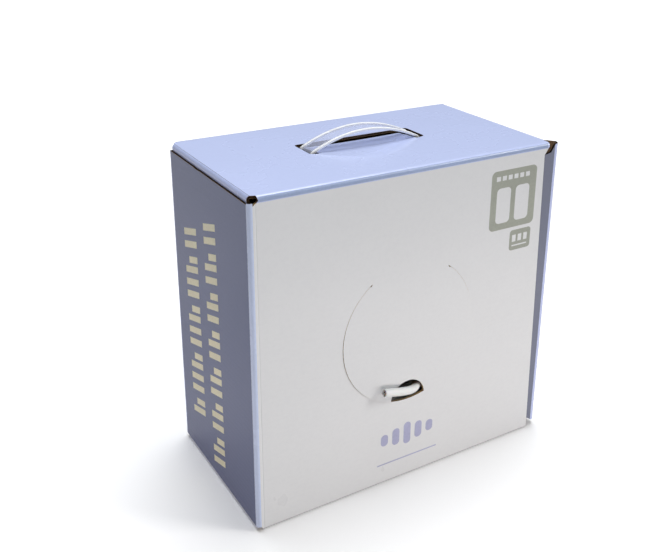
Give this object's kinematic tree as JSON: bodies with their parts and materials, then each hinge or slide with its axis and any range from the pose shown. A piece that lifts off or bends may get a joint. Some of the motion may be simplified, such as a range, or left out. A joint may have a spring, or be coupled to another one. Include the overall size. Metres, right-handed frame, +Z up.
{
  "type": "cable spool box",
  "caption": "Pull-out carton for network cable: folded micro-flute box with strap handle, round access disc with cable notch, and a coreless spool inside.",
  "frame": {"origin": "middle of the carton's base", "axes": "+Z up, -Y out of the wide front panel with the access disc, +X to the right seen from the front"},
  "size_m": [0.222, 0.13, 0.2302],
  "materials": {
    "printed_white_board": "gloss-laminated print on E-flute corrugated board",
    "printed_lavender_board": "gloss-laminated print on E-flute corrugated board",
    "kraft_board": "raw kraft",
    "strap_plastic": "translucent moulded polyethylene",
    "cable_jacket": "satin PVC jacket",
    "fibreboard": "grey-brown fibreboard",
    "stretch_film": "clear stretch film",
    "tie_band_plastic": "woven polypropylene band"
  },
  "bodies": {
    "carton": {"front_panel": "printed_white_board", "top_panel": "printed_lavender_board", "back_panel": "printed_white_board", "bottom_panel": "printed_lavender_board", "glue_flap": "kraft_board", "cable_tail": "cable_jacket"},
    "access_disc": {"access_disc": "printed_white_board"},
    "hand_flap": {"hand_flap": "printed_lavender_board"},
    "carry_handle": {"carry_handle": "strap_plastic"},
    "left_end": {"left_end_panel": "printed_lavender_board"},
    "left_tuck": {"left_tuck_flap": "printed_lavender_board"},
    "right_end": {"right_end_panel": "printed_lavender_board"},
    "right_tuck": {"right_tuck_flap": "printed_lavender_board"},
    "dust_top_left": {"dust_flap_top_left": "printed_lavender_board"},
    "dust_top_right": {"dust_flap_top_right": "printed_lavender_board"},
    "dust_bottom_left": {"dust_flap_bottom_left": "printed_lavender_board"},
    "dust_bottom_right": {"dust_flap_bottom_right": "printed_lavender_board"},
    "spool": {"cable_winding": "cable_jacket", "front_cheek": "fibreboard", "rear_cheek": "fibreboard", "stretch_wrap": "stretch_film", "tie_band_1": "tie_band_plastic", "tie_band_2": "tie_band_plastic", "tie_band_3": "tie_band_plastic", "tie_band_4": "tie_band_plastic"}
  },
  "joints": [
    {"name": "left_end_fold", "type": "hinge", "parent": "carton", "child": "left_end", "pos_m": [-0.111, -0.061, 0.11], "axis": [0, 0, 1], "range_deg": [0, 110]},
    {"name": "left_tuck_fold", "type": "hinge", "parent": "left_end", "child": "left_tuck", "pos_m": [-0.1091, 0.0571, 0.11], "axis": [0, 0, 1], "range_deg": [-80, 0]},
    {"name": "right_end_fold", "type": "hinge", "parent": "carton", "child": "right_end", "pos_m": [0.111, 0.061, 0.11], "axis": [0, 0, 1], "range_deg": [0, 110]},
    {"name": "right_tuck_fold", "type": "hinge", "parent": "right_end", "child": "right_tuck", "pos_m": [0.1091, -0.0571, 0.11], "axis": [0, 0, 1], "range_deg": [-80, 0]},
    {"name": "dust_top_left_fold", "type": "hinge", "parent": "carton", "child": "dust_top_left", "pos_m": [-0.1075, 0, 0.2181], "axis": [0, -1, 0], "range_deg": [0, 85]},
    {"name": "dust_top_right_fold", "type": "hinge", "parent": "carton", "child": "dust_top_right", "pos_m": [0.1075, 0, 0.2181], "axis": [0, 1, 0], "range_deg": [0, 85]},
    {"name": "dust_bottom_left_fold", "type": "hinge", "parent": "carton", "child": "dust_bottom_left", "pos_m": [-0.1075, 0, 0.0019], "axis": [0, 1, 0], "range_deg": [0, 85]},
    {"name": "dust_bottom_right_fold", "type": "hinge", "parent": "carton", "child": "dust_bottom_right", "pos_m": [0.1075, 0, 0.0019], "axis": [0, -1, 0], "range_deg": [0, 85]},
    {"name": "access_disc_fold", "type": "hinge", "parent": "carton", "child": "access_disc", "pos_m": [0, -0.061, 0.14997], "axis": [-1, 0, 0], "range_deg": [0, 100], "deforming": ["cable_tail"]},
    {"name": "hand_flap_fold", "type": "hinge", "parent": "carton", "child": "hand_flap", "pos_m": [0, -0.007, 0.2184], "axis": [-1, 0, 0], "range_deg": [0, 22]},
    {"name": "carry_handle_lift", "type": "slide", "parent": "carton", "child": "carry_handle", "axis": [0, 0, 1], "range_m": [0, 0.007]},
    {"name": "spool_turn", "type": "hinge", "parent": "carton", "child": "spool", "pos_m": [0, 0, 0.105], "axis": [0, -1, 0], "continuous": true}
  ],
  "couplings": [
    {"joint": "left_tuck_fold", "follows": "left_end_fold", "ratio": -0.72},
    {"joint": "right_tuck_fold", "follows": "right_end_fold", "ratio": -0.72}
  ]
}
